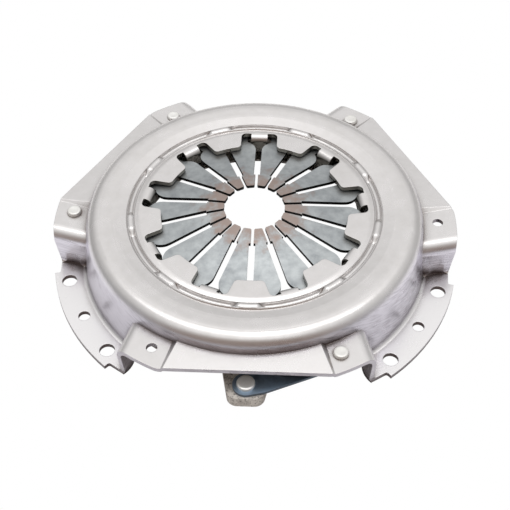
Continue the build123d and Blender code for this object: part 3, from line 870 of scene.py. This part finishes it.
@dataclass
class Rivets:
    """The strap rivets and the balance rivet: turned forms with a softly dished head."""

    circle: float = 110.3
    step_angle: float = 120.0
    shank: float = 3.0
    corner: float = 0.9
    bevel_share: float = 0.3
    dish_depth: float = 0.22
    closed_radius: float = 4.6
    closed_height: float = 1.8
    segments: int = 48
    rings: tuple[RivetRing, ...] = (
        RivetRing(
            "cover_side_rivets", COVER_BODY, ("cover_rivet_1", "cover_rivet_2", "cover_rivet_3"),
            first_angle=58.06, head_radius=4.15, head_base=27.7, head_height=2.4, closed_base=23.1,
            dish_radius=2.6, dish_floor=1.3,
        ),
        RivetRing(
            "lug_side_rivets", PLATE_BODY, ("lug_rivet_1", "lug_rivet_2", "lug_rivet_3"),
            first_angle=30.21, head_radius=5.2, head_base=14.7, head_height=1.85, closed_base=8.5,
            dish_radius=3.4, dish_floor=1.9,
        ),
        RivetRing(
            "balance_rivet_form", COVER_BODY, ("balance_rivet",),
            first_angle=121.94, head_radius=3.8, head_base=27.7, head_height=1.9, closed_base=24.9,
            dish_radius=2.3, dish_floor=1.3,
        ),
    )
    # the half section from the closed head up to the dish: sums of sizes for its radius and its height
    profile: tuple[tuple[tuple[str, ...], tuple[str, ...]], ...] = (
        (("Axis",), ("Closed Base", "-Closed Height")),
        (("Closed Radius", "-Corner"), ("Closed Base", "-Closed Height")),
        (("Closed Radius",), ("Closed Base", "-Closed Height", "Corner")),
        (("Closed Radius",), ("Closed Base",)),
        (("Shank",), ("Closed Base",)),
        (("Shank",), ("Head Base",)),
        (("Head Radius",), ("Head Base",)),
        (("Head Radius",), ("Head Base", "Head Height", "-Corner")),
        (("Head Radius", "-Bevel"), ("Head Base", "Head Height", "-Bevel")),
        (("Head Radius", "-Corner"), ("Head Base", "Head Height")),
        (("Dish Radius",), ("Head Base", "Head Height")),
        (("Dish Floor",), ("Head Base", "Head Height", "-Dish Depth")),
        (("Axis",), ("Head Base", "Head Height", "-Dish Depth")),
    )

    def pattern(self, ring: RivetRing) -> RoundPattern:
        """Write the tree that turns the profile about the rivet's axis and repeats it.

        Args:
            ring: The rivets to make.

        Returns:
            The pattern.
        """
        pattern = RoundPattern(ring.name, {
            "Axis": 0.0, "Corner": self.corner, "Bevel": self.bevel_share * self.corner, "Shank": self.shank,
            "Closed Radius": self.closed_radius, "Closed Base": ring.closed_base,
            "Closed Height": self.closed_height, "Head Radius": ring.head_radius,
            "Head Base": ring.head_base, "Head Height": ring.head_height, "Dish Radius": ring.dish_radius,
            "Dish Floor": ring.dish_floor, "Dish Depth": self.dish_depth, "Circle": self.circle,
            "First Angle": ring.first_angle, "Step Angle": self.step_angle,
        })
        tree = pattern.tree
        columns = self.segments + 1
        sheet = add_node(
            tree, "GeometryNodeMeshGrid", {"Vertices X": len(self.profile), "Vertices Y": columns}
        ).outputs[0]
        index = add_node(tree, "GeometryNodeInputIndex").outputs[0]
        row, column = (
            add_node(tree, "ShaderNodeMath", {0: index, 1: float(columns)}, operation=operation).outputs[0]
            for operation in ("DIVIDE", "MODULO")
        )
        row = add_node(tree, "ShaderNodeMath", {0: row}, operation="FLOOR").outputs[0]
        turn = add_node(
            tree, "ShaderNodeMath", {0: column, 1: 2 * pi / self.segments}, operation="MULTIPLY"
        ).outputs[0]
        outline = add_node(tree, "GeometryNodeIndexSwitch", data_type="VECTOR")
        for _ in self.profile[2:]:
            outline.index_switch_items.new()
        tree.links.new(row, outline.inputs[0])
        for number, (reach, height) in enumerate(self.profile, 1):
            point = add_node(
                tree, "ShaderNodeCombineXYZ", {"X": pattern.total(*reach), "Z": pattern.total(*height)}
            ).outputs[0]
            tree.links.new(point, outline.inputs[number])
        turned = add_node(
            tree, "ShaderNodeVectorRotate", {"Vector": outline.outputs[0], "Angle": turn},
            rotation_type="Z_AXIS",
        ).outputs[0]
        side = add_node(tree, "ShaderNodeCombineXYZ", {"X": pattern.inputs["Circle"]}).outputs[0]
        placed = add_node(tree, "ShaderNodeVectorMath", {0: turned, 1: side}, operation="ADD").outputs[0]
        form = add_node(tree, "GeometryNodeSetPosition", {"Geometry": sheet, "Position": placed}).outputs[0]
        form = add_node(
            tree, "GeometryNodeMergeByDistance", {"Geometry": form, "Distance": MERGE_WITHIN}
        ).outputs[0]
        # the grid's faces look into the rivet once it is turned
        form = add_node(tree, "GeometryNodeFlipFaces", {"Mesh": form}).outputs[0]
        pattern.repeat(form)
        return pattern

    def build(self, material: Material) -> list[Piece]:
        """Make the strap rivets of the cover and of the lugs, and the balance rivet.

        Args:
            material: The rivets' finish.

        Returns:
            The three pieces.
        """
        pieces = []
        for ring in self.rings:
            piece = self.pattern(ring).make(ring.body, RIVET_STEEL, material, len(ring.solids))
            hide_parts(*ring.solids)
            pieces.append(piece)
        return pieces


@dataclass
class GrooveSaddles:
    """The pressed saddles that end each run of the bead's groove with a gentle slope."""

    count: int = 9
    first_angle: float = 30.0
    circle: float = 74.05
    half_width: float = 1.95
    top: float = 39.22
    floor: float = 35.9
    bottom: float = 35.0
    crown: float = 0.72
    level_share: float = 0.41
    half_angle: float = 8.5
    steps: tuple[int, int] = (33, 9)

    def build(self, material: Material) -> list[Piece]:
        """Bend a block along the bead, slope its ends, crown it across and repeat it.

        Args:
            material: The cover's finish.

        Returns:
            The ring of saddles, as one piece.
        """
        # the block's length runs against the direction of its turn, so its span is negative
        pattern = RoundPattern("groove_saddles", {
            "Circle": self.circle, "Width": 2 * self.half_width, "Top": self.top, "Floor": self.floor,
            "Bottom": self.bottom, "Crown": -4 * self.crown, "Level": self.level_share / 2,
            "Span": -radians(2 * self.half_angle), "First Angle": self.first_angle,
            "Step Angle": 360 / self.count,
        })
        tree, inputs = pattern.tree, pattern.inputs
        along, across = self.steps
        # a block of one unit each way, so that its points run from -0.5 to 0.5
        block = add_node(
            tree, "GeometryNodeMeshCube",
            {"Size": (1.0, 1.0, 1.0), "Vertices X": along, "Vertices Y": across, "Vertices Z": 2},
        ).outputs[0]
        place = add_node(tree, "GeometryNodeInputPosition").outputs[0]
        place = add_node(tree, "ShaderNodeSeparateXYZ", {0: place}).outputs
        away = add_node(tree, "ShaderNodeMath", {0: place["X"]}, operation="ABSOLUTE").outputs[0]
        slope = add_node(
            tree, "ShaderNodeMapRange",
            {0: away, 1: inputs["Level"], 2: 0.5, 3: inputs["Top"], 4: inputs["Floor"]},
            interpolation_type="SMOOTHSTEP",
        ).outputs[0]
        square = add_node(
            tree, "ShaderNodeMath", {0: place["Y"], 1: place["Y"]}, operation="MULTIPLY"
        ).outputs[0]
        roof = add_node(
            tree, "ShaderNodeMath", {0: square, 1: inputs["Crown"], 2: slope}, operation="MULTIPLY_ADD"
        ).outputs[0]
        height = add_node(
            tree, "ShaderNodeMapRange", {0: place["Z"], 1: -0.5, 2: 0.5, 3: inputs["Bottom"], 4: roof}
        ).outputs[0]
        reach = add_node(
            tree, "ShaderNodeMath", {0: place["Y"], 1: inputs["Width"], 2: inputs["Circle"]},
            operation="MULTIPLY_ADD",
        ).outputs[0]
        turn = add_node(
            tree, "ShaderNodeMath", {0: place["X"], 1: inputs["Span"]}, operation="MULTIPLY"
        ).outputs[0]
        point = add_node(tree, "ShaderNodeCombineXYZ", {"X": reach, "Z": height}).outputs[0]
        bent = add_node(
            tree, "ShaderNodeVectorRotate", {"Vector": point, "Angle": turn}, rotation_type="Z_AXIS"
        ).outputs[0]
        form = add_node(tree, "GeometryNodeSetPosition", {"Geometry": block, "Position": bent}).outputs[0]
        pattern.repeat(form)
        return [pattern.make(COVER_BODY, PRESSED_STEEL, material, self.count)]


@dataclass
class Studio:
    """The pale floor, the soft lights and the camera."""

    azimuth: float = 3.40
    elevation: float = 48.06
    roll: float = -0.83
    distance: float = 708.66
    offset: tuple[float, float] = (0.03, 3.32)
    target_height: float = 2.8
    # the lens as a distance in picture points of a square picture, and that picture's width in them
    focal_points: float = 1142.54
    picture_points: float = 510.0
    sensor_width: float = 36.0
    clip: tuple[float, float] = (10.0, 20000.0)
    floor_size: float = 6000.0
    floor_drop: float = 0.1
    floor_roughness: float = 0.9
    # where painted shade greys the floor towards the viewer, as the part reflects it, and its whiteness there
    # and elsewhere
    floor_shade_reach: tuple[float, float] = (-160.0, -50.0)
    floor_shade_whites: tuple[float, float] = (0.45, 1.0)
    # the room's light from the horizon to straight above: sine of the height, and strength
    sky: tuple[tuple[float, float], ...] = (
        (0.0, 0.58), (0.3, 0.62), (0.42, 0.70), (0.5, 0.86), (0.62, 0.92), (0.72, 0.97), (0.88, 1.12),
        (0.96, 1.42), (1.0, 1.45),
    )
    # screens in that room: the span of a direction's part, the share that it hides, and its own light
    side_screens: tuple[float, float, float, float] = (0.35, 0.80, 0.26, 0.1)
    right_reflector: tuple[float, float, float, float] = (0.5, 0.85, 0.22, 1.1)
    front_span: tuple[float, float] = (-0.38, -0.78)
    front_colour: str = "9a8b82"
    # place and size in metres, power in watts
    softbox_place: tuple[float, float, float] = (0.0, 0.10, 1.3)
    softbox_size: tuple[float, float] = (1.5, 0.28)
    softbox_power: float = 2.5

    def build(self) -> None:
        """Make the whole studio."""
        self.camera()
        self.floor()
        self.world()
        self.softbox()
        bpy.context.scene.view_settings.view_transform = "Standard"

    def axes(self) -> tuple[Vector, Vector, Vector]:
        """Work out how the camera is turned.

        Returns:
            The camera's right, up and backward directions.
        """
        turn, lift, tilt = (radians(a) for a in (self.azimuth, self.elevation, self.roll))
        back = Vector((sin(turn) * cos(lift), -cos(turn) * cos(lift), sin(lift)))
        right = Vector((cos(turn), sin(turn), 0))
        up = back.cross(right)
        return cos(tilt) * right + sin(tilt) * up, cos(tilt) * up - sin(tilt) * right, back

    def camera(self) -> None:
        """Put the camera in its place and make it the scene's own."""
        right, up, back = self.axes()
        place = (back * self.distance - right * self.offset[0] - up * self.offset[1]) * MM
        place.z += self.target_height * MM
        data = bpy.data.cameras.new("studio_camera")
        data.lens = self.focal_points * self.sensor_width / self.picture_points
        data.sensor_width = self.sensor_width
        data.clip_start, data.clip_end = (limit * MM for limit in self.clip)
        eye = bpy.data.objects.new("studio_camera", data)
        bpy.context.scene.collection.objects.link(eye)
        turn = Matrix((right, up, back)).transposed().to_4x4()
        eye.matrix_world = Matrix.Translation(place) @ turn
        bpy.context.scene.camera = eye

    def floor(self) -> None:
        """Lay a pale floor just under the part, with painted shade greying it in front where the part
        reflects it.
        """
        mesh = bpy.data.meshes.new("studio_floor")
        half, under = self.floor_size / 2 * MM, -self.floor_drop * MM
        corners = [(x * half, y * half, under) for x, y in ((-1, -1), (1, -1), (1, 1), (-1, 1))]
        mesh.from_pydata(corners, [], [(0, 1, 2, 3)])
        floor = bpy.data.objects.new("studio_floor", mesh)
        bpy.context.scene.collection.objects.link(floor)
        material = bpy.data.materials.new("lit_white_table")
        material.use_nodes = True
        tree = material.node_tree
        shader = tree.nodes["Principled BSDF"]
        shader.inputs["Roughness"].default_value = self.floor_roughness
        glow = add_node(tree, "ShaderNodeEmission", {"Color": hex_colour("ffffff"), "Strength": 1.0})
        place = add_node(tree, "ShaderNodeTexCoord").outputs["Object"]
        along = add_node(tree, "ShaderNodeSeparateXYZ", {0: place}).outputs["Y"]
        # painted shade: the colour that reflections see greys towards the viewer; the camera sees plain white
        start, end = (limit * MM for limit in self.floor_shade_reach)
        dark, pale = self.floor_shade_whites
        near = add_node(tree, "ShaderNodeMapRange", {0: along, 1: start, 2: end, 3: dark, 4: pale})
        tree.links.new(near.outputs[0], shader.inputs["Base Color"])
        seen = add_node(tree, "ShaderNodeLightPath").outputs["Is Camera Ray"]
        both = add_node(tree, "ShaderNodeMixShader", {0: seen, 1: shader.outputs[0], 2: glow.outputs[0]})
        tree.links.new(both.outputs[0], tree.nodes["Material Output"].inputs["Surface"])
        mesh.materials.append(material)

    def world(self) -> None:
        """Surround the part with a soft pale room, darker towards the horizon, the sides and the front."""
        world = bpy.data.worlds.new("soft_room")
        bpy.context.scene.world = world
        world.use_nodes = True
        tree = world.node_tree
        background = tree.nodes["Background"]
        direction = add_node(tree, "ShaderNodeTexCoord").outputs["Generated"]
        part = add_node(tree, "ShaderNodeSeparateXYZ", {0: direction}).outputs
        light = add_node(tree, "ShaderNodeValToRGB", {"Fac": part["Z"]}, stops=self.sky).outputs["Color"]
        aside = add_node(tree, "ShaderNodeMath", {0: part["X"]}, operation="ABSOLUTE").outputs[0]
        screens = [
            (value, start, end, share, (grey, grey, grey, 1.0))
            for value, (start, end, share, grey) in (
                (aside, self.side_screens), (part["X"], self.right_reflector),
            )
        ]
        screens.append((part["Y"], *self.front_span, 1.0, hex_colour(self.front_colour)))
        for value, start, end, share, colour in screens:
            hidden = add_node(tree, "ShaderNodeMapRange", {0: value, 1: start, 2: end, 4: share}).outputs[0]
            mixed = add_node(tree, "ShaderNodeMix", {0: hidden, 6: light, 7: colour}, data_type="RGBA")
            light = mixed.outputs[2]
        tree.links.new(light, background.inputs["Color"])
        background.inputs["Strength"].default_value = 1.0

    def softbox(self) -> None:
        """Hang the soft box over the part."""
        data = bpy.data.lights.new("overhead_softbox", "AREA")
        data.shape, data.energy = "RECTANGLE", self.softbox_power
        data.size, data.size_y = self.softbox_size
        lamp = bpy.data.objects.new("overhead_softbox", data)
        bpy.context.scene.collection.objects.link(lamp)
        lamp.location = self.softbox_place
        lamp.rotation_euler = Vector(self.softbox_place).to_track_quat("Z", "Y").to_euler()


def main() -> None:
    """Build and dress the part, then the studio round it."""
    logging.basicConfig(level=logging.INFO, format="%(name)s: %(message)s")
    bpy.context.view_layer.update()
    finishes = (PRESSED_STEEL, SPRING_STEEL, STRAP_STEEL, RIVET_STEEL, WIRE_STEEL, CAST_IRON)
    materials = {finish.name: finish.build() for finish in finishes}
    pieces = [
        *Solids().build(materials),
        *DiaphragmSpring().build(materials[SPRING_STEEL.name]),
        *StrapLeaves().build(materials[STRAP_STEEL.name]),
        *Rivets().build(materials[RIVET_STEEL.name]),
        *GrooveSaddles().build(materials[PRESSED_STEEL.name]),
    ]
    for piece in pieces:
        LOG.info("%s has %d faces", piece.name, len(piece.data.polygons))
    Studio().build()


if __name__ == "__main__":
    main()
